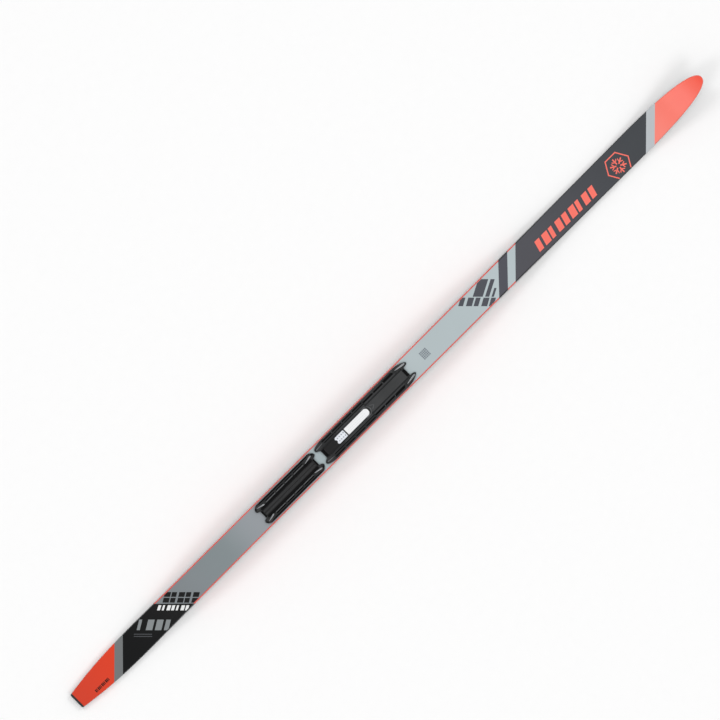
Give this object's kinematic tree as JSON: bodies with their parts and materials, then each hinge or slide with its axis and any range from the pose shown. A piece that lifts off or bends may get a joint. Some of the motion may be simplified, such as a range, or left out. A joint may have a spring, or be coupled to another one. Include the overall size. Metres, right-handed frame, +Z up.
{
  "type": "cross country ski",
  "caption": "Junior classic cross country ski with sidecut, camber and a turned-up tip, a grip skin let into the base, and rail plates for a binding bonded to its level deck.",
  "frame": {"origin": "on the floor that the unloaded ski stands on, under the middle of its overall length and width", "axes": "+X towards the tip, +Y to the ski's left, +Z up, away from the running surface"},
  "size_m": [1.5, 0.0518, 0.0573],
  "materials": {
    "running_base": "stone-ground sintered polyethylene",
    "grip_mohair": "short mohair pile, swept backwards",
    "adhesive": "cured bonding film",
    "glass_laminate": "glass fibre laminate",
    "light_wood": "raw light wood",
    "dense_wood": "raw dense wood",
    "filler_plastic": "moulded filler",
    "printed_top": "satin printed top sheet in grey, charcoal, black and coral red",
    "protector_plastic": "black moulded plastic",
    "plate_plastic": "black moulded plastic with fine texture",
    "label_film": "white film"
  },
  "bodies": {
    "root": {"base": "running_base", "grip_skin": "grip_mohair", "skin_adhesive": "adhesive", "lower_laminate": "glass_laminate", "core_centre_stringer": "light_wood", "core_left_stringer": "light_wood", "core_right_stringer": "light_wood", "core_left_edge_stringer": "dense_wood", "core_right_edge_stringer": "dense_wood", "tip_spacer": "filler_plastic", "tail_spacer": "filler_plastic", "cap_laminate": "glass_laminate", "mounting_reinforcement": "glass_laminate", "top_sheet": "printed_top", "tail_protector": "protector_plastic", "front_plate": "plate_plastic", "front_plate_adhesive": "adhesive", "rear_plate": "plate_plastic", "rear_plate_adhesive": "adhesive", "tag_label": "label_film", "info_label": "label_film"}
  },
  "joints": []
}
